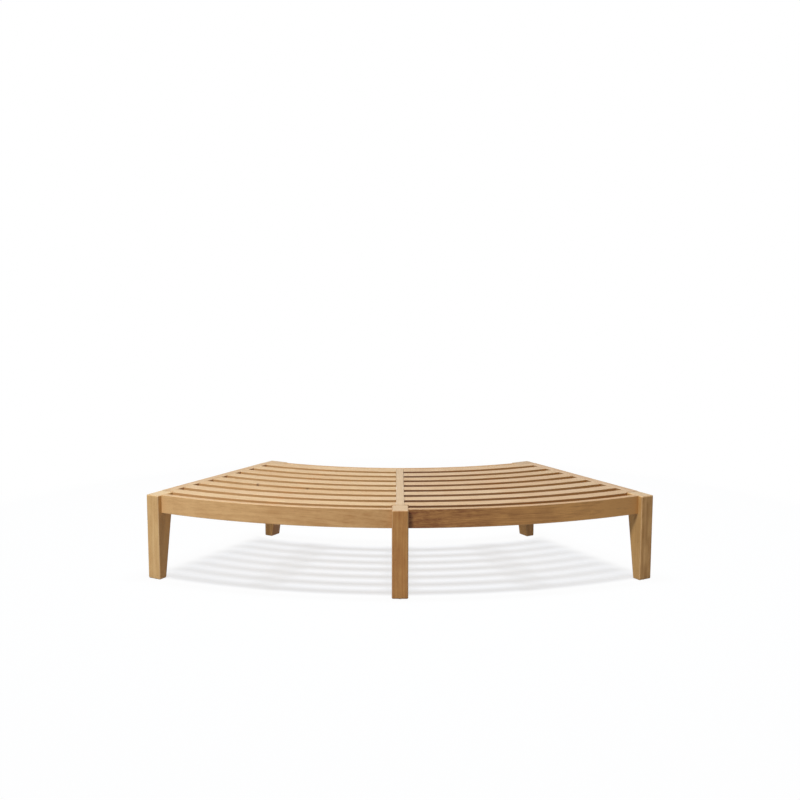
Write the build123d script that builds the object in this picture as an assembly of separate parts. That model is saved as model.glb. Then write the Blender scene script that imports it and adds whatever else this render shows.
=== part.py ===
from build123d import *
from math import cos, radians, sin, sqrt
import os

# A low bench in the plan of a ring sector. Everything is laid out from the centre of its two arcs:
# a radius is measured from that centre, and a spoke is a line through it. The convex side is the
# front and faces -Y, the floor is z = 0, and the origin is under the middle of the whole bench.

# Overall form
half_angle = 30                 # degrees from the middle spoke to each end
seat_height = 330
front_rail_radius = 1916        # front face of the front rails
seat_depth = 766                # along a spoke, from there to the back face of the rear rail
front_leg_reveal = 19           # how far the front legs stand proud of the front rails
rear_leg_reveal = 15            # how far the rear legs stand proud of the rear rail

# Rails
rail_height = 70
rail_thickness = 25
end_rail_thickness = 38
center_rail_thickness = 30
front_rail_round = 1.5          # long edges of the front rails
rear_rail_round = 3             # long edges of the rear rail
straight_edge_round = 1.5       # long edges of the end rails and the centre rail

# Legs: one face plumb, the face opposite tapered from the top to the foot
leg_width = 58
center_leg_width = 60
leg_top_depth = 89
leg_foot_depth = 38
leg_edge_round = 5

# Slats: in each half the rear one lies tight against the rear rail, and a gap follows each of them
slat_count = 8
slat_thickness = 18
slat_gap = 37.5
rear_slat_seam = 0.6            # between the rear slat and the rear rail
slat_end_seam = 0.8             # between a slat's end and the rail beside it
slat_edge_round = 2             # along a slat
slat_end_round = 0.5            # round a slat's ends, where the joints stay tight

# Battens under the slats, one in the middle of each half
batten_width = 40
batten_depth = 22

# Joints
tenon_thickness = 14
tenon_length = 26
tenon_shoulder = 10             # of rail left above and below a tenon
stub_tenon_length = 16          # of the centre rail in the rear rail
slat_tenon_thickness = 8
slat_tenon_width = 28
slat_tenon_length = 10
batten_tenon_thickness = 10
batten_tenon_length = 12
joint_clearance = 0.2           # round a tenon, and past its end
shoulder_seam = 0.3             # between a hollow-cut shoulder and the curved rail that it meets
notch_clearance = 1             # between a notched slat and the leg

# Pegs that lock the rail tenons in the legs
peg_radius = 4
peg_embed = 8                   # past the far side of the tenon
peg_clearance = 0.1
pair_height_shares = (0.3, 0.7)  # of the rail's height, on a curved rail's tenon
single_height_share = 0.5        # of the rail's height, on a straight rail's tenon

# Screws that hold the slats down on the battens
screw_radius = 2
screw_head_radius = 4
screw_head_height = 2.4
screw_bite = 11                 # into the slat
screw_clearance = 0.1

# Glides under the feet
glide_radius = 11
glide_height = 2
glide_pin_radius = 1.5
glide_pin_length = 14
glide_pin_clearance = 0.1

overrun = 30                    # how far a cut runs past what it cuts

# Derived radii and heights
rear_rail_radius = front_rail_radius - seat_depth
leg_front_radius = front_rail_radius + front_leg_reveal
leg_rear_radius = rear_rail_radius - rear_leg_reveal
rear_leg_front_radius = leg_rear_radius + leg_width
front_leg_back_radius = leg_front_radius - leg_top_depth
front_rail_inner_radius = front_rail_radius - rail_thickness
rear_rail_outer_radius = rear_rail_radius + rail_thickness
rail_bottom = seat_height - rail_height
slat_bottom = seat_height - slat_thickness
batten_bottom = slat_bottom - batten_depth
leg_height = seat_height - glide_height

first_slat_radius = rear_rail_outer_radius + rear_slat_seam
slat_run = front_rail_inner_radius - first_slat_radius
slat_width = slat_run / slat_count - slat_gap

# Where the arc centre lies, so that the origin is under the middle of the bench. The rearmost point
# is on the rounded outer back edge of a rear leg.
turn = radians(half_angle)
corner_inset = leg_edge_round * (cos(turn) + sin(turn) - 1)
rearmost = leg_rear_radius * cos(turn) + corner_inset
arc_center_y = (leg_front_radius + rearmost) / 2

# On a spoke the local X axis runs square to it, towards the right, and local Y is minus the radius
left_end = Pos(0, arc_center_y, 0) * Rot(0, 0, -half_angle)
left_middle = Pos(0, arc_center_y, 0) * Rot(0, 0, -half_angle / 2)
middle = Pos(0, arc_center_y, 0)


def radius_at(radius, offset):
    """How far along a spoke a circle of this radius is met by a line at an offset from the spoke."""
    return sqrt(radius**2 - offset**2)


def plan_point(radius, offset, angle):
    """The same meeting point, in plan, for the spoke at an angle."""
    along = radius_at(radius, offset)
    spoke = radians(angle)
    x = offset * cos(spoke) + along * sin(spoke)
    y = arc_center_y + offset * sin(spoke) - along * cos(spoke)
    return (x, y)


def block(x_range, y_range, z_range):
    """A box between two limits on each axis."""
    ranges = (x_range, y_range, z_range)
    sizes = [high - low for low, high in ranges]
    centers = [(high + low) / 2 for low, high in ranges]
    return Pos(*centers) * Box(*sizes)


def grown(limits, margin):
    """A range of limits with a margin added at each side."""
    return (limits[0] - margin, limits[1] + margin)


def disc(radius):
    """A full round cylinder about the arc centre, from the floor to above the seat."""
    height = seat_height + overrun
    return middle * Pos(0, 0, height / 2) * Cylinder(radius, height)


def mirrored(shape):
    """The same shape on the other side of the bench."""
    return mirror(shape, about=Plane.YZ)


def curved_board(inner_radius, outer_radius, bottom, top, start, end):
    """A board sawn to two arcs about the arc centre. Start and end are (angle, offset) of its ends."""
    crown = (start[0] + end[0]) / 2
    arcs = []
    for radius in (inner_radius, outer_radius):
        first = plan_point(radius, start[1], start[0])
        crest = plan_point(radius, 0, crown)
        last = plan_point(radius, end[1], end[0])
        arcs.append(ThreePointArc(first, crest, last))
    inner, outer = arcs
    outline = Curve() + [outer, Line(outer @ 1, inner @ 1), inner, Line(inner @ 0, outer @ 0)]
    return Pos(0, 0, bottom) * extrude(make_face(outline), amount=top - bottom, dir=(0, 0, 1))


# Legs

def leg_depth(height):
    """How deep the tapered leg is at a height above the floor."""
    grade = (leg_top_depth - leg_foot_depth) / leg_height
    return leg_foot_depth + (height - glide_height) * grade


def leg_blank(width, margin=0):
    """The plain tapered leg: X across its width from 0, Y from its plumb face, with a margin all round."""
    profile = Polyline(
        (-margin, glide_height),
        (leg_foot_depth + margin, glide_height),
        (leg_top_depth + margin, seat_height),
        (-margin, seat_height),
        close=True,
    )
    side = Plane.YZ.offset(-margin) * make_face(profile)
    return extrude(side, amount=width + 2 * margin, dir=(1, 0, 0))


front_left_place = left_end * Pos(0, -leg_front_radius, 0)
rear_left_place = left_end * Pos(0, -leg_rear_radius, 0) * Rot(0, 0, -90)
center_place = middle * Pos(-center_leg_width / 2, -leg_front_radius, 0)


def rounded_leg(width):
    """The leg with its edges eased."""
    blank = leg_blank(width)
    return fillet(blank.edges(), leg_edge_round)


# Tenons: each is a box that reaches back into its rail, and its mortise is the same box, grown

tenon_z = (rail_bottom + tenon_shoulder, seat_height - tenon_shoulder)
rail_middle_front = (front_rail_radius + front_rail_inner_radius) / 2
rail_middle_rear = (rear_rail_radius + rear_rail_outer_radius) / 2
leg_depth_at_rail = leg_depth(rail_bottom)
end_tenon_x = (
    (end_rail_thickness - tenon_thickness) / 2,
    (end_rail_thickness + tenon_thickness) / 2,
)
center_tenon_x = (-tenon_thickness / 2, tenon_thickness / 2)


def centered(middle_value, width):
    """Limits of a width about its middle."""
    return (middle_value - width / 2, middle_value + width / 2)


def tenon_and_mortise(place, x_range, y_range, z_range):
    """A tenon and the mortise that takes it, with clearance on every side."""
    tenon = place * block(x_range, y_range, z_range)
    mortise = place * block(
        grown(x_range, joint_clearance),
        grown(y_range, joint_clearance),
        grown(z_range, joint_clearance),
    )
    return tenon, mortise


# Curved front rail into the front left leg, square to the leg's inner side
front_end_radius = radius_at(rail_middle_front, leg_width)
front_end_tenon, front_end_mortise = tenon_and_mortise(
    left_end,
    (leg_width - tenon_length, leg_width + rail_thickness),
    centered(-front_end_radius, tenon_thickness),
    tenon_z,
)

# Curved front rail into the centre leg
front_center_radius = radius_at(rail_middle_front, center_leg_width / 2)
front_center_tenon, front_center_mortise = tenon_and_mortise(
    middle,
    (-center_leg_width / 2 - rail_thickness, -center_leg_width / 2 + tenon_length),
    centered(-front_center_radius, tenon_thickness),
    tenon_z,
)

# Curved rear rail into the rear left leg
rear_end_radius = radius_at(rail_middle_rear, leg_depth_at_rail)
rear_end_tenon, rear_end_mortise = tenon_and_mortise(
    left_end,
    (leg_depth_at_rail - tenon_length, leg_top_depth + rail_thickness / 2),
    centered(-rear_end_radius, tenon_thickness),
    tenon_z,
)

# End rail into the front left leg and into the rear left leg
front_shoulder_radius = leg_front_radius - leg_depth_at_rail
end_front_tenon, end_front_mortise = tenon_and_mortise(
    left_end,
    end_tenon_x,
    (-front_shoulder_radius - tenon_length, -front_leg_back_radius + tenon_length),
    tenon_z,
)
end_rear_tenon, end_rear_mortise = tenon_and_mortise(
    left_end,
    end_tenon_x,
    (-rear_leg_front_radius - tenon_length, -rear_leg_front_radius + tenon_length),
    tenon_z,
)

# Centre rail into the centre leg and into the rear rail
center_front_tenon, center_front_mortise = tenon_and_mortise(
    middle,
    center_tenon_x,
    (-front_shoulder_radius - tenon_length, -front_leg_back_radius + tenon_length),
    tenon_z,
)
center_rear_tenon, center_rear_mortise = tenon_and_mortise(
    middle,
    center_tenon_x,
    (-rear_rail_outer_radius - tenon_length, -rear_rail_outer_radius + stub_tenon_length),
    tenon_z,
)

# Battens into the front and rear rails
batten_tenon_x = centered(0, batten_width - batten_tenon_thickness)
batten_tenon_z = centered(batten_bottom + batten_depth / 2, batten_tenon_thickness)
batten_front_tenon, batten_front_mortise = tenon_and_mortise(
    left_middle,
    batten_tenon_x,
    (-front_rail_inner_radius - batten_tenon_length, -front_rail_inner_radius + batten_width),
    batten_tenon_z,
)
batten_rear_tenon, batten_rear_mortise = tenon_and_mortise(
    left_middle,
    batten_tenon_x,
    (-rear_rail_outer_radius - batten_width, -rear_rail_outer_radius + batten_tenon_length),
    batten_tenon_z,
)


# Pegs: a place, a point on the peg's axis at its inner end, and the way it leaves the leg

def peg(place, x, y, height_share, towards, radius):
    """A round peg from its inner end out past the leg's face. Towards is the local way out."""
    height = rail_bottom + rail_height * height_share
    length = leg_top_depth + overrun
    axis = Plane(origin=(x, y, height), z_dir=towards).location
    return place * axis * Pos(0, 0, length / 2) * Cylinder(radius, length)


def pegs_and_holes(leg, place, x, y, height_shares, towards):
    """Pegs cut flush with the leg's face, and the holes that take them."""
    pegs = [peg(place, x, y, share, towards, peg_radius) & leg for share in height_shares]
    holes = [peg(place, x, y, share, towards, peg_radius + peg_clearance) for share in height_shares]
    return pegs, holes


out_left = (-1, 0, 0)
out_front = (0, -1, 0)
out_back = (0, 1, 0)
single_shares = (single_height_share,)
peg_reach = tenon_thickness / 2 + peg_embed
end_peg_x = end_rail_thickness / 2 + peg_reach

front_left_blank = front_left_place * leg_blank(leg_width)
rear_left_blank = rear_left_place * leg_blank(leg_width)
center_blank = center_place * leg_blank(center_leg_width)

front_left_pegs, front_left_holes = pegs_and_holes(
    front_left_blank, left_end,
    leg_width - tenon_length / 2, -front_end_radius - peg_reach,
    pair_height_shares, out_back,
)
end_front_pegs, end_front_holes = pegs_and_holes(
    front_left_blank, left_end,
    end_peg_x, -front_shoulder_radius - tenon_length / 2,
    single_shares, out_left,
)
end_rear_pegs, end_rear_holes = pegs_and_holes(
    rear_left_blank, left_end,
    end_peg_x, -rear_leg_front_radius + tenon_length / 2,
    single_shares, out_left,
)
rear_left_pegs, rear_left_holes = pegs_and_holes(
    rear_left_blank, left_end,
    leg_depth_at_rail - tenon_length / 2, -rear_end_radius + peg_reach,
    pair_height_shares, out_front,
)
front_center_pegs, front_center_holes = pegs_and_holes(
    center_blank, middle,
    -center_leg_width / 2 + tenon_length / 2, -front_center_radius - peg_reach,
    pair_height_shares, out_back,
)
center_pegs, center_holes = pegs_and_holes(
    center_blank, middle,
    peg_reach, -front_shoulder_radius - tenon_length / 2,
    single_shares, out_left,
)


# Glides

def glide(width):
    """A round glide with its pin, under the foot of a leg of this width."""
    foot_center = Pos(width / 2, leg_foot_depth / 2, 0)
    pad = Pos(0, 0, glide_height / 2) * Cylinder(glide_radius, glide_height)
    pin = Pos(0, 0, glide_height + glide_pin_length / 2) * Cylinder(glide_pin_radius, glide_pin_length)
    return foot_center * (pad + pin)


def glide_hole(width):
    """The pilot hole in the foot for the glide's pin."""
    length = glide_pin_length + glide_pin_clearance
    place = Pos(width / 2, leg_foot_depth / 2, glide_height + length / 2)
    return place * Cylinder(glide_pin_radius + glide_pin_clearance, length)


# Finished legs

def finished_leg(place, width, cuts):
    """An eased leg in its place, with its mortises, peg holes and glide hole."""
    return place * (rounded_leg(width) - glide_hole(width)) - cuts


front_left_leg = finished_leg(
    front_left_place, leg_width,
    [front_end_mortise, end_front_mortise] + front_left_holes + end_front_holes,
)
rear_left_leg = finished_leg(
    rear_left_place, leg_width,
    [rear_end_mortise, end_rear_mortise] + rear_left_holes + end_rear_holes,
)
front_center_leg = finished_leg(
    center_place, center_leg_width,
    [front_center_mortise, mirrored(front_center_mortise), center_front_mortise]
    + front_center_holes
    + [mirrored(hole) for hole in front_center_holes]
    + center_holes,
)


# Slats and their tenons

def slat_tenons(inner_radius, outer_radius):
    """Stub tenons at a slat's two ends, and their mortises, clear of the legs."""
    low = max(inner_radius, rear_leg_front_radius)
    high = min(outer_radius, front_leg_back_radius)
    y_range = centered(-(low + high) / 2, slat_tenon_width)
    z_range = centered(slat_bottom + slat_thickness / 2, slat_tenon_thickness)
    reach = slat_end_seam + slat_tenon_width / 2
    at_end = tenon_and_mortise(
        left_end,
        (end_rail_thickness - slat_tenon_length, end_rail_thickness + reach),
        y_range,
        z_range,
    )
    at_center = tenon_and_mortise(
        middle,
        (-center_rail_thickness / 2 - reach, -center_rail_thickness / 2 + slat_tenon_length),
        y_range,
        z_range,
    )
    return at_end, at_center


def slat_board(inner_radius, outer_radius):
    """A slat between the end rail and the centre rail, with eased edges and no tenons yet."""
    start = (-half_angle, end_rail_thickness + slat_end_seam)
    end = (0, -center_rail_thickness / 2 - slat_end_seam)
    board = curved_board(inner_radius, outer_radius, slat_bottom, seat_height, start, end)
    board = fillet(board.edges().filter_by(GeomType.CIRCLE), slat_edge_round)
    end_faces = board.faces().filter_by(GeomType.PLANE).group_by(SortBy.AREA)[0]
    return fillet([edge for face in end_faces for edge in face.edges()], slat_end_round)


slat_limits = []
for number in range(slat_count):
    slat_inner = first_slat_radius + number * (slat_width + slat_gap)
    slat_limits.append((slat_inner, slat_inner + slat_width))

slat_names = ["rear_slat"] + [f"slat_{number}" for number in range(1, slat_count)]
leg_notches = [
    front_left_place * leg_blank(leg_width, notch_clearance),
    rear_left_place * leg_blank(leg_width, notch_clearance),
    center_place * leg_blank(center_leg_width, notch_clearance),
]


# Screws from below through the batten into each slat

def screw_profile(margin):
    """Half the outline of a countersunk screw, head down, with a margin round it and past its tip."""
    tip = batten_depth + screw_bite + margin
    neck = screw_head_height + margin
    return Polyline(
        (0, 0),
        (screw_head_radius + margin, 0),
        (screw_radius + margin, neck),
        (screw_radius + margin, tip - screw_radius),
        (0, tip),
        close=True,
    )


def screw(radius, margin=0):
    """A screw standing on the batten's underside at a radius on the batten's spoke."""
    half = Plane.XZ * make_face(screw_profile(margin))
    return left_middle * Pos(0, -radius, batten_bottom) * revolve(half, axis=Axis.Z)


screw_radii = [(inner + outer) / 2 for inner, outer in slat_limits]
left_screws = [screw(radius) for radius in screw_radii]
screw_holes = [screw(radius, screw_clearance) for radius in screw_radii]

# The slats themselves, with the mortises that they ask for in the rails
left_slats = {}
end_rail_mortises = []
center_rail_mortises = []
for name, (inner, outer), hole in zip(slat_names, slat_limits, screw_holes):
    (end_tenon, end_mortise), (center_tenon, center_mortise) = slat_tenons(inner, outer)
    left_slats[name] = slat_board(inner, outer) - leg_notches - hole + end_tenon + center_tenon
    end_rail_mortises.append(end_mortise)
    center_rail_mortises.append(center_mortise)


# Rails

def curved_rail(inner_radius, outer_radius, start, end, edge_round):
    """A curved rail with its long edges eased. Its ends are cut to the legs later."""
    rail = curved_board(inner_radius, outer_radius, rail_bottom, seat_height, start, end)
    return fillet(rail.edges().filter_by(GeomType.CIRCLE), edge_round)


def straight_rail(x_range, y_range):
    """A rail along a spoke with its long edges eased. Its ends are cut to the legs later."""
    rail = block(x_range, y_range, (rail_bottom, seat_height))
    return fillet(rail.edges().filter_by(Axis.Y), straight_edge_round)


front_left_rail = curved_rail(
    front_rail_inner_radius, front_rail_radius,
    (-half_angle, leg_width / 2), (0, -center_leg_width / 4), front_rail_round,
)
front_left_rail -= [front_left_blank, center_blank]
front_left_rail += [front_end_tenon, front_center_tenon]
front_left_rail -= [batten_front_mortise] + front_left_holes + front_center_holes

rear_rail = curved_rail(
    rear_rail_radius, rear_rail_outer_radius,
    (-half_angle, leg_foot_depth), (half_angle, -leg_foot_depth), rear_rail_round,
)
rear_rail -= [rear_left_blank, mirrored(rear_left_blank)]
rear_rail += [rear_end_tenon, mirrored(rear_end_tenon)]
rear_rail -= [center_rear_mortise, batten_rear_mortise, mirrored(batten_rear_mortise)]
rear_rail -= rear_left_holes + [mirrored(hole) for hole in rear_left_holes]

left_end_rail = left_end * straight_rail(
    (0, end_rail_thickness),
    (-front_leg_back_radius - overrun, -rear_leg_front_radius + overrun),
)
left_end_rail -= [front_left_blank, rear_left_blank]
left_end_rail += [end_front_tenon, end_rear_tenon]
left_end_rail -= end_rail_mortises + end_front_holes + end_rear_holes

center_rail = middle * straight_rail(
    centered(0, center_rail_thickness),
    (-front_leg_back_radius - overrun, -rear_rail_radius),
)
center_rail -= [center_blank, disc(rear_rail_outer_radius + shoulder_seam)]
center_rail += [center_front_tenon, center_rear_tenon]
center_rail -= center_rail_mortises + [mirrored(mortise) for mortise in center_rail_mortises]
center_rail -= center_holes

# Battens, shaped at each end to the rail that they meet
batten = left_middle * block(
    centered(0, batten_width),
    (-front_rail_radius, -rear_rail_radius),
    (batten_bottom, slat_bottom),
)
batten &= disc(front_rail_inner_radius - shoulder_seam)
batten -= disc(rear_rail_outer_radius + shoulder_seam)
batten += [batten_front_tenon, batten_rear_tenon]
batten -= screw_holes

# Every node by name. Left-hand pieces are mirrored to make their right-hand partners.
left_pegs = front_left_pegs + end_front_pegs + end_rear_pegs + rear_left_pegs + front_center_pegs
nodes = {
    "front_center_leg": front_center_leg,
    "rear_rail": rear_rail,
    "center_rail": center_rail,
    "front_center_glide": center_place * glide(center_leg_width),
    "rail_pegs": Compound(children=left_pegs + [mirrored(one) for one in left_pegs] + center_pegs),
}
left_nodes = {
    "front_{side}_leg": front_left_leg,
    "rear_{side}_leg": rear_left_leg,
    "front_{side}_rail": front_left_rail,
    "{side}_end_rail": left_end_rail,
    "{side}_batten": batten,
    "{side}_batten_screws": Compound(children=left_screws),
    "front_{side}_glide": front_left_place * glide(leg_width),
    "rear_{side}_glide": rear_left_place * glide(leg_width),
}
for name, slat in left_slats.items():
    left_nodes["{side}_" + name] = slat
for pattern, shape in left_nodes.items():
    nodes[pattern.format(side="left")] = shape
    nodes[pattern.format(side="right")] = mirrored(shape)

os.makedirs("parts", exist_ok=True)
for name, shape in nodes.items():
    export_step(shape, f"parts/{name}.step")

print("bench width", round(2 * (leg_front_radius * sin(turn) - corner_inset), 1))
print("bench depth", round(leg_front_radius - rearmost, 1))
print("slat width", round(slat_width, 2))
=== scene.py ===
from math import cos, pi, radians, sin

import bmesh
import bpy
from mathutils import Matrix, Vector


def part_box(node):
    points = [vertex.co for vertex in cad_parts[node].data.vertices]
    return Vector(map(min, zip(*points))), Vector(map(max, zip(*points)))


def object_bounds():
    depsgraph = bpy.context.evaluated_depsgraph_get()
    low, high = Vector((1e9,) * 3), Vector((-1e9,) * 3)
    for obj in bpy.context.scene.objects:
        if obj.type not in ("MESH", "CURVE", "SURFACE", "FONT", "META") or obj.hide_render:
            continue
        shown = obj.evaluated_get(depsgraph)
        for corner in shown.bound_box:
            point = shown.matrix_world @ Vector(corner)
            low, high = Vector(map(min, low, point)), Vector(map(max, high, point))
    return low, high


# A low curved bench of planed, lightly oiled teak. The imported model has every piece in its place, so
# this file gives each piece its own teak, and adds the floor, the lights and the camera. Lengths are
# in metres.

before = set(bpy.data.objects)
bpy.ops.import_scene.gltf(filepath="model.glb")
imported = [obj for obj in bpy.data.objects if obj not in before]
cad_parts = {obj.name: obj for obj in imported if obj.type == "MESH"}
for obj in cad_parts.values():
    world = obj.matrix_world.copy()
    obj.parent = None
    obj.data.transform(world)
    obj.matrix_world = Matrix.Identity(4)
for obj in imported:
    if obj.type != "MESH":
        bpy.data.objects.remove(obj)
cad_low, cad_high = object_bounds()
seat_height = cad_high.z
mm = 0.001


# Colours and nodes

def linear(hex_colour):
    """An sRGB hex colour as the linear RGBA that Blender's sockets take."""
    channels = [int(hex_colour[i:i + 2], 16) / 255 for i in (1, 3, 5)]
    return [c / 12.92 if c <= 0.04045 else ((c + 0.055) / 1.055) ** 2.4 for c in channels] + [1.0]


def add(tree, kind, settings=None, inputs=None):
    """A node of this kind with its settings, and its inputs set to values or linked to sockets."""
    node = tree.nodes.new(kind)
    for name, value in (settings or {}).items():
        setattr(node, name, value)
    for name, value in (inputs or {}).items():
        if isinstance(value, bpy.types.NodeSocket):
            tree.links.new(value, node.inputs[name])
        else:
            node.inputs[name].default_value = value
    return node


def new_material(name):
    """An empty node material, with its tree and its output node."""
    material = bpy.data.materials.new(name)
    material.use_nodes = True
    tree = material.node_tree
    tree.nodes.clear()
    return material, tree, tree.nodes.new("ShaderNodeOutputMaterial")


# Teak. A board's own axes run along it, across its planed face and through it. Its sawn sides face
# the way across, and its ends the way along.

def board_axes(tree, node, along, across):
    """A point of a board in its own axes: its place from the middle, its facing and its share.

    The facing is how squarely the surface there faces each axis, from 0 to 1. The share is how far
    along the board's box the point lies, also from 0 to 1.
    """
    low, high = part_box(node)
    along = Vector(along).normalized()
    across = Vector(across).normalized()
    turned = Matrix((along, across, along.cross(across)))
    coordinates = add(tree, "ShaderNodeTexCoord")
    place = add(tree, "ShaderNodeMapping", None, {
        "Vector": coordinates.outputs["Object"], "Location": -(turned @ ((low + high) / 2)),
        "Rotation": turned.to_euler(),
    })
    facing = add(tree, "ShaderNodeMapping", {"vector_type": "NORMAL"}, {
        "Vector": coordinates.outputs["Normal"], "Rotation": turned.to_euler(),
    })
    facing = add(tree, "ShaderNodeVectorMath", {"operation": "ABSOLUTE"}, {0: facing.outputs[0]})
    facing = add(tree, "ShaderNodeSeparateXYZ", None, {0: facing.outputs[0]})
    half_length = (high - low).dot(Vector([abs(c) for c in along])) / 2
    place_along = add(tree, "ShaderNodeSeparateXYZ", None, {0: place.outputs[0]})
    share = add(tree, "ShaderNodeMapRange", None, {
        "Value": place_along.outputs["X"], "From Min": -half_length, "From Max": half_length,
    })
    return place.outputs[0], facing.outputs, share.outputs[0]


# The wood's patterns: the length and width of their patches, how many finer layers they have, and
# the noise that becomes 0 and 1. Real fibres are under 1 mm wide, and are drawn as streaks of 4 mm,
# the finest that show from the camera. The pores have their real size, for a close look.
fibre_pattern = {"length": 200 * mm, "width": 4.17 * mm, "detail": 3.0, "low": 0.3, "high": 0.7}
pore_pattern = {"length": 8.33 * mm, "width": 0.417 * mm, "detail": 1.0, "low": 0.62, "high": 0.78}
cloud_pattern = {"length": 83.3 * mm, "width": 31.25 * mm, "detail": 2.0, "low": 0.34, "high": 0.66}
wander_pattern = {"length": 625 * mm, "width": 200 * mm, "detail": 1.0, "low": 0.0, "high": 1.0}
# Growth rings, and how far the middle of the tree is from the board and strays along it
ring_spacing = 9 * mm
ring_noise = (0.34, 0.7)
pith_distance = 200 * mm
pith_distance_spread = 40 * mm
pith_offset = 120 * mm
pith_wander = 30 * mm
# These turn a board's seed into a place for its pith, and into a stretch of pattern of its own
pith_turns = (1.7, 2.3)
seed_step = Vector((7.31, 3.17, 5.23))


def grain(tree, board, seed, length, width, detail, low, high):
    """A soft pattern from 0 to 1, in patches of this length along the board and this width."""
    scaled = add(tree, "ShaderNodeVectorMath", {"operation": "MULTIPLY_ADD"}, {
        0: board, 1: (1 / length, 1 / width, 1 / width), 2: seed * seed_step,
    })
    noise = add(tree, "ShaderNodeTexNoise", None, {
        "Vector": scaled.outputs[0], "Scale": 1.0, "Detail": detail,
    })
    return add(tree, "ShaderNodeMapRange", {"interpolation_type": "SMOOTHSTEP"}, {
        "Value": noise.outputs[0], "From Min": low, "From Max": high,
    }).outputs[0]


def growth_rings(tree, board, seed):
    """Growth rings round a pith outside the board, whose place follows the seed.

    A face cut along the board shows them as long lines, and an end as arcs.
    """
    wander = grain(tree, board, seed, **wander_pattern)
    pith = Vector((
        0.0, pith_distance + pith_distance_spread * sin(seed * pith_turns[0]),
        pith_offset * cos(seed * pith_turns[1]),
    ))
    from_pith = add(tree, "ShaderNodeVectorMath", {"operation": "SUBTRACT"}, {0: board, 1: pith})
    flat = add(tree, "ShaderNodeVectorMath", {"operation": "MULTIPLY"}, {
        0: from_pith.outputs[0], 1: (0.0, 1.0, 1.0),
    })
    distance = add(tree, "ShaderNodeVectorMath", {"operation": "LENGTH"}, {0: flat.outputs[0]})
    distance = add(tree, "ShaderNodeMath", {"operation": "MULTIPLY_ADD"}, {
        0: wander, 1: pith_wander, 2: distance.outputs["Value"],
    })
    rings = add(tree, "ShaderNodeTexNoise", {"noise_dimensions": "1D"}, {
        "W": distance.outputs[0], "Scale": 1 / ring_spacing, "Detail": 2.0, "Roughness": 0.6,
    })
    return add(tree, "ShaderNodeMapRange", {"interpolation_type": "SMOOTHSTEP"}, {
        "Value": rings.outputs[0], "From Min": ring_noise[0], "From Max": ring_noise[1],
    }).outputs[0]


# How much each pattern darkens the wood, from 0 to 1
ring_depth = 0.3
fibre_depth = 0.25
cloud_depth = 0.4


def grain_tone(tree, board, share, seed, fibres, figure, fade):
    """How dark the wood is, from 0 to 1: its rings, fibres and clouds, and its fade along the board."""
    rings = growth_rings(tree, board, seed)
    clouds = grain(tree, board, seed, **cloud_pattern)
    tone = add(tree, "ShaderNodeMath", {"operation": "MULTIPLY"}, {0: rings, 1: ring_depth * figure})
    tone = add(tree, "ShaderNodeMath", {"operation": "MULTIPLY_ADD"}, {
        0: fibres, 1: fibre_depth, 2: tone.outputs[0],
    })
    tone = add(tree, "ShaderNodeMath", {"operation": "MULTIPLY_ADD"}, {
        0: clouds, 1: cloud_depth * figure, 2: tone.outputs[0],
    })
    fading = add(tree, "ShaderNodeMapRange", None, {
        "Value": share, "To Min": -fade / 2, "To Max": fade / 2,
    })
    return add(tree, "ShaderNodeMath", {"operation": "ADD", "use_clamp": True}, {
        0: tone.outputs[0], 1: fading.outputs[0],
    }).outputs[0]


# How squarely a surface has to face its axis to start to count as a side or an end, and to count in
# full. An eased edge faces no axis squarely, so its two values run down.
side_facing = (0.7, 0.95)
end_facing = (0.75, 0.95)
edge_facing = (0.94, 0.8)
# How much of its own colour each of them shows
side_cover = 0.8
end_cover = 0.75
edge_cover = 0.3
# The eased edges' pale colour: partly wear, and partly a painted highlight along each rounded edge
rubbed_edge_and_highlight = linear("#ead4b0")


def worked_faces(tree, wood, facing, side_tone_and_painted_shading, end):
    """Side faces in their own colour, end grain in its own tone, and eased edges pale. The side colour
    is oil soaked into sawn wood, and on some boards painted shade and painted light too; the pale edges
    are partly wear and partly a painted highlight.
    """
    if side_tone_and_painted_shading:
        on_side = add(tree, "ShaderNodeMapRange", {"interpolation_type": "SMOOTHSTEP"}, {
            "Value": facing["Y"], "From Min": side_facing[0], "From Max": side_facing[1],
            "To Max": side_cover,
        })
        wood = add(tree, "ShaderNodeMix", {"data_type": "RGBA"}, {
            0: on_side.outputs[0], 6: wood, 7: side_tone_and_painted_shading,
        }).outputs[2]
    on_end = add(tree, "ShaderNodeMapRange", {"interpolation_type": "SMOOTHSTEP"}, {
        "Value": facing["X"], "From Min": end_facing[0], "From Max": end_facing[1],
        "To Max": end_cover,
    })
    wood = add(tree, "ShaderNodeMix", {"data_type": "RGBA"}, {
        0: on_end.outputs[0], 6: wood, 7: linear(end),
    }).outputs[2]
    squarest = add(tree, "ShaderNodeMath", {"operation": "MAXIMUM"}, {0: facing["X"], 1: facing["Y"]})
    squarest = add(tree, "ShaderNodeMath", {"operation": "MAXIMUM"}, {
        0: squarest.outputs[0], 1: facing["Z"],
    })
    on_edge = add(tree, "ShaderNodeMapRange", {"interpolation_type": "SMOOTHSTEP"}, {
        "Value": squarest.outputs[0], "From Min": edge_facing[0], "From Max": edge_facing[1],
        "To Max": edge_cover,
    })
    return add(tree, "ShaderNodeMix", {"data_type": "RGBA"}, {
        0: on_edge.outputs[0], 6: wood, 7: rubbed_edge_and_highlight,
    }).outputs[2]


def side_colour_with_painted_shading(tree, share, near, far):
    """The colour of a board's side faces, from its near end to its far one. On some boards it is the
    wood's own tone, and on the slats, end rails and rear legs it is painted shade and painted light.
    """
    return add(tree, "ShaderNodeMix", {"data_type": "RGBA"}, {
        0: share, 6: linear(near), 7: linear(far),
    }).outputs[2]


knot_reach = 10 * mm
knot_core = 3 * mm
knot_cover = 0.8
knot_stain = linear("#5a2b12")


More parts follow.
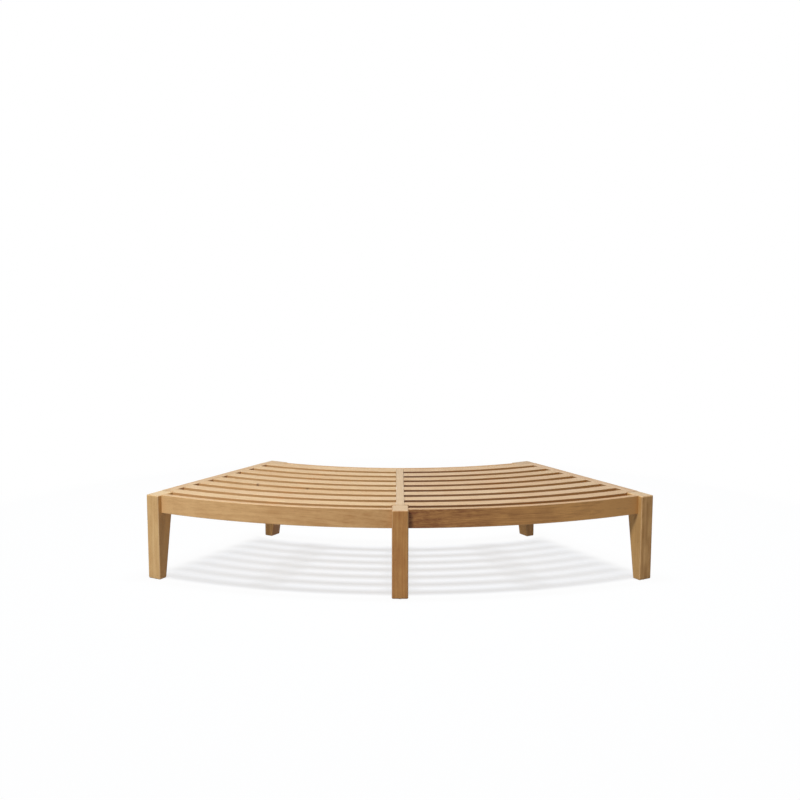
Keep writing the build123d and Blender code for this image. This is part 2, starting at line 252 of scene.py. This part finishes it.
def knotted(tree, wood, knots):
    """The wood with small dark pin knots at these places."""
    place = add(tree, "ShaderNodeTexCoord").outputs["Object"]
    for pin in knots:
        from_pin = add(tree, "ShaderNodeVectorMath", {"operation": "DISTANCE"}, {0: place, 1: pin})
        stain = add(tree, "ShaderNodeMapRange", {"interpolation_type": "SMOOTHSTEP"}, {
            "Value": from_pin.outputs["Value"], "From Min": knot_reach, "From Max": knot_core,
            "To Max": knot_cover,
        })
        wood = add(tree, "ShaderNodeMix", {"data_type": "RGBA"}, {
            0: stain.outputs[0], 6: wood, 7: knot_stain,
        }).outputs[2]
    return wood


end_grain = "#cdb48c"
pore_shade = linear("#b8a089")
relief_strength = 0.35
relief_depth = 0.2 * mm
oiled_roughness = 0.48
fibre_roughness = 0.1
oiled_ior = 1.5


def teak(name, node, along, across, seed, pale, dark, figure=1.0, fade=0.0, side="", far_side="",
         end=end_grain, knots=()):
    """Planed teak, oiled and satin: it shows long faint lines, slow clouds of tone and a soft sheen.

    Figure is how strong its pattern is, and fade how much darker its far end is than its near one.
    Side and end are the colours of its side faces and its end grain, and far_side is that of its sides
    at the far end, where it differs. On the slats, end rails and rear legs the side colours carry
    painted shade and painted light as well as the wood's tone.
    """
    material, tree, output = new_material(name)
    board, facing, share = board_axes(tree, node, along, across)
    fibres = grain(tree, board, seed, **fibre_pattern)
    pores = grain(tree, board, seed, **pore_pattern)
    wood = add(tree, "ShaderNodeMix", {"data_type": "RGBA"}, {
        0: grain_tone(tree, board, share, seed, fibres, figure, fade),
        6: linear(pale), 7: linear(dark),
    }).outputs[2]
    side_tone_and_painted_shading = side_colour_with_painted_shading(tree, share, side, far_side or side) if side else None
    wood = worked_faces(tree, wood, facing, side_tone_and_painted_shading, end)
    wood = add(tree, "ShaderNodeMix", {"data_type": "RGBA", "blend_type": "MULTIPLY"}, {
        0: pores, 6: wood, 7: pore_shade,
    }).outputs[2]
    wood = knotted(tree, wood, knots)
    height = add(tree, "ShaderNodeMath", {"operation": "SUBTRACT"}, {0: fibres, 1: pores})
    relief = add(tree, "ShaderNodeBump", None, {
        "Strength": relief_strength, "Distance": relief_depth, "Height": height.outputs[0],
    })
    shine = add(tree, "ShaderNodeMath", {"operation": "MULTIPLY_ADD"}, {
        0: fibres, 1: fibre_roughness, 2: oiled_roughness,
    })
    shader = add(tree, "ShaderNodeBsdfPrincipled", None, {
        "Base Color": wood, "Roughness": shine.outputs[0], "IOR": oiled_ior,
        "Normal": relief.outputs[0],
    })
    tree.links.new(shader.outputs[0], output.inputs["Surface"])
    return material


# The bench's own layout: two halves of an arc about a centre behind it, each of 30 degrees, with
# straight pieces along its spokes

arc_centre = Vector((0.0, 1.4599, 0.0))
end_angle = 30
middle_angle = end_angle / 2
up = Vector((0.0, 0.0, 1.0))


def spoke(angle):
    """The way out from the arc centre along a spoke, in plan."""
    return Vector((sin(radians(angle)), -cos(radians(angle)), 0.0))


def chord(angle):
    """The way along a curved board whose middle is on a spoke, from left to right."""
    return Vector((cos(radians(angle)), sin(radians(angle)), 0.0))


def dress(node, along, across, seed, pale, dark, **finish):
    """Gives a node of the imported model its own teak."""
    material = teak("teak_planed_" + node, node, along, across, seed, pale, dark, **finish)
    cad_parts[node].data.materials.clear()
    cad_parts[node].data.materials.append(material)


# Slats, counted from the back, each from its own stock. The rear slat is number 0. Their sides are
# the front and back edges, which show in the gaps, and are given from left to right.
# The side colours are painted shade in the gaps: deepest at the inner ends of the right half's slats,
# lighter outwards and on the left half
slat_sides = {"left": ("#d09f68", "#b48046"), "right": ("#622a08", "#c4843a")}
slat_tones = {
    "left": [
        ("#ddbf94", "#be935f"), ("#dfc296", "#be935f"), ("#daba8c", "#bb8e59"), ("#dec196", "#c09663"),
        ("#dbbd90", "#bc905b"), ("#d9b98a", "#ba8d59"), ("#dcbe94", "#bf9561"), ("#ddbf92", "#bd925d"),
    ],
    "right": [
        ("#d6b992", "#ba8d5b"), ("#d9bd98", "#bb905f"), ("#d3b58c", "#b68956"), ("#d6b790", "#b98d5c"),
        ("#d5b68e", "#b78a57"), ("#d8bc96", "#bb905e"), ("#d7ba94", "#bb8f5d"), ("#d6b890", "#b98c58"),
    ],
}
# Pin knots on the front edge of a left slat, where they show in a gap
slat_knots = {
    "left_slat_4": [
        (-0.566, -0.016, seat_height - 5 * mm),
        (-0.3645, -0.0825, seat_height - 11 * mm),
    ],
}
for half, sign in (("left", -1), ("right", 1)):
    angle = sign * middle_angle
    side, far_side = slat_sides[half]
    for number, (pale, dark) in enumerate(slat_tones[half]):
        name = f"{half}_slat_{number}" if number else f"{half}_rear_slat"
        seed = 3 + number * 2 + sign
        dress(name, chord(angle), spoke(angle), seed, pale, dark, figure=0.6, side=side,
              far_side=far_side, knots=slat_knots.get(name, ()))

# Rails and battens, with the ways along and across each of them and the seed of its pattern. A curved
# rail's sides are its top and bottom edges, and an end rail's are its inner and outer faces.
dress("front_left_rail", chord(-middle_angle), up, 4, "#deb37b", "#b5824b", figure=0.7, fade=0.6,
      side="#d0ad80")
# The right front rail darkens towards its near end by the centre leg: partly its tone, and partly the
# painted shadow that this leg casts on it
dress("front_right_rail", chord(middle_angle), up, 9, "#d69e5b", "#6c360a", figure=0.55, fade=-1.0,
      side="#c8a57a")
dress("rear_rail", chord(0), up, 6, "#d2ac7a", "#ab7a46")
# The end rails' side colours, on their inner and outer faces, are painted shade where the gaps end at
# them
dress("left_end_rail", spoke(-end_angle), chord(-end_angle), 12, "#d7b990", "#bb905e",
      side="#b27a47")
dress("right_end_rail", spoke(end_angle), chord(end_angle), 17, "#d6b894", "#b98e5f",
      side="#956a3c")
dress("center_rail", spoke(0), up, 21, "#d4b995", "#be9b71", figure=0.7)
dress("left_batten", spoke(-middle_angle), up, 25, "#c4965e", "#986432")
dress("right_batten", spoke(middle_angle), up, 28, "#c0925a", "#92602e")

# Legs. Their tops are sanded end grain, palest on the front corners.
dress("front_left_leg", up, chord(-end_angle), 31, "#e2bc83", "#c5975d", figure=0.7,
      side="#c28f50", end="#d9c098")
dress("front_center_leg", up, chord(0), 35, "#c49153", "#a36a34", end="#d0b894")
dress("front_right_leg", up, chord(end_angle), 38, "#ecba77", "#b5803f", figure=1.2,
      side="#bb945c", end="#d5bd98")
# The rear left leg's colours are raised to paint the fill light on its shaded faces, and its darker
# sides are painted shade; the rear right leg's sides are paler than its front, painted light where the
# key falls
dress("rear_left_leg", up, chord(-end_angle), 41, "#eab873", "#b88447", side="#a86c26",
      end="#c4aa88")
dress("rear_right_leg", up, chord(end_angle), 44, "#c49356", "#936530", side="#dca75a",
      end="#c4aa88")

# Pegs, of a darker stock
dress("rail_pegs", chord(0), up, 47, "#a9743f", "#7c4e26", end="#8a5a30")


# Screws and glides

grit_relief = 0.3
grit_roughness = 0.15


def plain_finish(name, colour, roughness, metallic, grit):
    """A moulded or turned surface: one colour, with a fine grit of this size in metres on it."""
    material, tree, output = new_material(name)
    coordinates = add(tree, "ShaderNodeTexCoord").outputs["Object"]
    noise = add(tree, "ShaderNodeTexNoise", None, {
        "Vector": coordinates, "Scale": 1 / grit, "Detail": 2.0,
    })
    relief = add(tree, "ShaderNodeBump", None, {
        "Strength": grit_relief, "Distance": grit / 4, "Height": noise.outputs[0],
    })
    shine = add(tree, "ShaderNodeMath", {"operation": "MULTIPLY_ADD"}, {
        0: noise.outputs[0], 1: grit_roughness, 2: roughness - grit_roughness / 2,
    })
    shader = add(tree, "ShaderNodeBsdfPrincipled", None, {
        "Base Color": linear(colour), "Metallic": metallic, "Roughness": shine.outputs[0],
        "Normal": relief.outputs[0],
    })
    tree.links.new(shader.outputs[0], output.inputs["Surface"])
    return material


# Stainless screws, drawn and turned: a soft grey gleam
screw_steel = plain_finish("stainless_steel_turned", "#b4b4b2", 0.34, 1.0, 0.4 * mm)
# Nylon glides, moulded: brown black and matt
glide_nylon = plain_finish("nylon_moulded", "#453a30", 0.6, 0.0, 0.6 * mm)
for name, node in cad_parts.items():
    if name.endswith("_screws") or name.endswith("_glide"):
        node.data.materials.clear()
        node.data.materials.append(glide_nylon if name.endswith("_glide") else screw_steel)


# Floor

floor_reach = 12.0
floor_mesh = bpy.data.meshes.new("floor")
floor_form = bmesh.new()
bmesh.ops.create_grid(floor_form, x_segments=1, y_segments=1, size=floor_reach)
floor_form.to_mesh(floor_mesh)
floor_form.free()
floor = bpy.data.objects.new("floor", floor_mesh)
bpy.context.scene.collection.objects.link(floor)


def white_rays(tree):
    """1 for the rays that see a white studio: those of the camera, of gloss and of clear things."""
    paths = add(tree, "ShaderNodeLightPath")
    shown = add(tree, "ShaderNodeMath", {"operation": "MAXIMUM"}, {
        0: paths.outputs["Is Camera Ray"], 1: paths.outputs["Is Glossy Ray"],
    })
    return add(tree, "ShaderNodeMath", {"operation": "MAXIMUM"}, {
        0: shown.outputs[0], 1: paths.outputs["Is Transmission Ray"],
    }).outputs[0]


# The overhead lamp spreads the slats' shadow on the floor about the point straight below it
lamp_place = Vector((0.0, -0.095, 3.9))
below_lamp = lamp_place * Vector((1.0, 1.0, 0.0))
shadow_spread = lamp_place.z / (lamp_place.z - seat_height)
shadow_centre = below_lamp + (arc_centre - below_lamp) * shadow_spread
# The shadow's shading fades out over its edges: at the front and the rear between these radii at seat
# height, and at the ends over these distances inside the end spokes on the floor
front_fade = (1.84, 1.87)
rear_fade = (1.26, 1.22)
end_fade = (0.13, 0.02)


def outside_slats(tree):
    """1 where the floor is clear of the slats' shadow, which is their outline spread by the lamp."""
    place = add(tree, "ShaderNodeTexCoord").outputs["Object"]
    out = add(tree, "ShaderNodeVectorMath", {"operation": "SUBTRACT"}, {0: place, 1: shadow_centre})
    radius = add(tree, "ShaderNodeVectorMath", {"operation": "LENGTH"}, {0: out.outputs[0]})
    front = add(tree, "ShaderNodeMapRange", {"interpolation_type": "SMOOTHSTEP"}, {
        "Value": radius.outputs["Value"], "From Min": front_fade[0] * shadow_spread,
        "From Max": front_fade[1] * shadow_spread,
    })
    rear = add(tree, "ShaderNodeMapRange", {"interpolation_type": "SMOOTHSTEP"}, {
        "Value": radius.outputs["Value"], "From Min": rear_fade[0] * shadow_spread,
        "From Max": rear_fade[1] * shadow_spread,
    })
    both_halves = add(tree, "ShaderNodeVectorMath", {"operation": "ABSOLUTE"}, {0: out.outputs[0]})
    past_end = add(tree, "ShaderNodeVectorMath", {"operation": "DOT_PRODUCT"}, {
        0: both_halves.outputs[0], 1: (cos(radians(end_angle)), -sin(radians(end_angle)), 0.0),
    })
    end = add(tree, "ShaderNodeMapRange", {"interpolation_type": "SMOOTHSTEP"}, {
        "Value": past_end.outputs["Value"], "From Min": -end_fade[0], "From Max": -end_fade[1],
    })
    arcs = add(tree, "ShaderNodeMath", {"operation": "MAXIMUM"}, {
        0: front.outputs[0], 1: rear.outputs[0],
    })
    return add(tree, "ShaderNodeMath", {"operation": "MAXIMUM"}, {
        0: arcs.outputs[0], 1: end.outputs[0],
    }).outputs[0]


# White paint, rolled: matt and even. White rays see it lifted to white, with the slats' shadow kept.
# Outside this shadow a tenth of the shading is kept, and it fades out away from the bench.
white = linear("#ffffff")
painted_white = linear("#e6e6e6")
# The shading shown is a cool white: a painted tint that cancels the warm light the teak throws into the
# shadow
shaded_white = linear("#bbc3ce")
shaded_lift = 0.68
kept_shading = 0.1
shading_fade = (1.3, 2.4)
floor_paint, tree, output = new_material("white_paint_rolled")
coordinates = add(tree, "ShaderNodeTexCoord").outputs["Object"]
from_bench = add(tree, "ShaderNodeVectorMath", {"operation": "LENGTH"}, {0: coordinates})
far = add(tree, "ShaderNodeMapRange", {"interpolation_type": "SMOOTHSTEP"}, {
    "Value": from_bench.outputs["Value"], "From Min": shading_fade[0], "From Max": shading_fade[1],
})
clear = add(tree, "ShaderNodeMath", {"operation": "MULTIPLY"}, {
    0: outside_slats(tree), 1: 1.0 - kept_shading,
})
faded = add(tree, "ShaderNodeMath", {"operation": "MAXIMUM"}, {0: clear.outputs[0], 1: far.outputs[0]})
lit = add(tree, "ShaderNodeBsdfDiffuse", None, {"Color": painted_white})
shaded = add(tree, "ShaderNodeBsdfDiffuse", None, {"Color": shaded_white})
lift = add(tree, "ShaderNodeEmission", None, {"Color": white, "Strength": shaded_lift})
near_floor = add(tree, "ShaderNodeAddShader", None, {0: shaded.outputs[0], 1: lift.outputs[0]})
far_floor = add(tree, "ShaderNodeEmission", None, {"Color": white, "Strength": 1.0})
shown = add(tree, "ShaderNodeMixShader", None, {
    0: faded.outputs[0], 1: near_floor.outputs[0], 2: far_floor.outputs[0],
})
surface = add(tree, "ShaderNodeMixShader", None, {
    0: white_rays(tree), 1: lit.outputs[0], 2: shown.outputs[0],
})
tree.links.new(surface.outputs[0], output.inputs["Surface"])
floor_mesh.materials.append(floor_paint)


# World: a little soft light all round, and white where white rays look past the floor

world_light = 0.15
world = bpy.data.worlds.new("studio")
bpy.context.scene.world = world
world.use_nodes = True
tree = world.node_tree
tree.nodes.clear()
strength = add(tree, "ShaderNodeMath", {"operation": "MULTIPLY_ADD"}, {
    0: white_rays(tree), 1: 1.0 - world_light, 2: world_light,
})
background = add(tree, "ShaderNodeBackground", None, {
    "Color": white, "Strength": strength.outputs[0],
})
world_output = tree.nodes.new("ShaderNodeOutputWorld")
tree.links.new(background.outputs[0], world_output.inputs["Surface"])


# Lights

def area_light(name, place, aim, size, level):
    """A soft light. The level is how bright a white surface at the aim, facing it, is by it alone."""
    light = bpy.data.lights.new(name, "AREA")
    light.shape = "RECTANGLE"
    light.size, light.size_y = size
    way = aim - place
    light.energy = level * pi * pi * way.length_squared
    lamp = bpy.data.objects.new(name, light)
    lamp.location = place
    lamp.rotation_euler = way.to_track_quat("-Z", "Y").to_euler()
    bpy.context.scene.collection.objects.link(lamp)
    return lamp


# One lamp straight above, long from side to side, throws the slats' striped shadow
overhead_size = (1.6, 0.55)
overhead_level = 0.45
area_light("overhead", lamp_place, below_lamp, overhead_size, overhead_level)

# The key, from the left front, leaves the floor alone, so that this shadow is the only one
key_size = (1.0, 1.0)
key_level = 0.6
key_distance = 5.0
key_height = radians(38)
key_side = radians(36)
key_way = Vector((
    -sin(key_side) * cos(key_height), -cos(key_side) * cos(key_height), sin(key_height),
))
seat_middle = Vector((0.0, 0.0, seat_height))
key = area_light("key", seat_middle + key_distance * key_way, seat_middle, key_size, key_level)
not_the_floor = bpy.data.collections.new("key_light_skips")
not_the_floor.objects.link(floor)
not_the_floor.collection_objects[0].light_linking.link_state = "EXCLUDE"
key.light_linking.receiver_collection = not_the_floor


# Camera, as fitted to the photograph. Its lens and sensor are in millimetres.

camera_place = Vector((-0.0119, -4.2866, 1.2415))
pitch = 0.1336
yaw = 0.0027
roll = 0.0022
camera_data = bpy.data.cameras.new("camera")
camera_data.lens = 49.05
camera_data.sensor_width = 36.0
camera_data.clip_end = 100.0
camera = bpy.data.objects.new("camera", camera_data)
camera.matrix_world = (
    Matrix.Translation(camera_place)
    @ Matrix.Rotation(-yaw, 4, "Z")
    @ Matrix.Rotation(pi / 2 - pitch, 4, "X")
    @ Matrix.Rotation(roll, 4, "Z")
)
bpy.context.scene.collection.objects.link(camera)
bpy.context.scene.camera = camera
bpy.context.scene.view_settings.view_transform = "Standard"
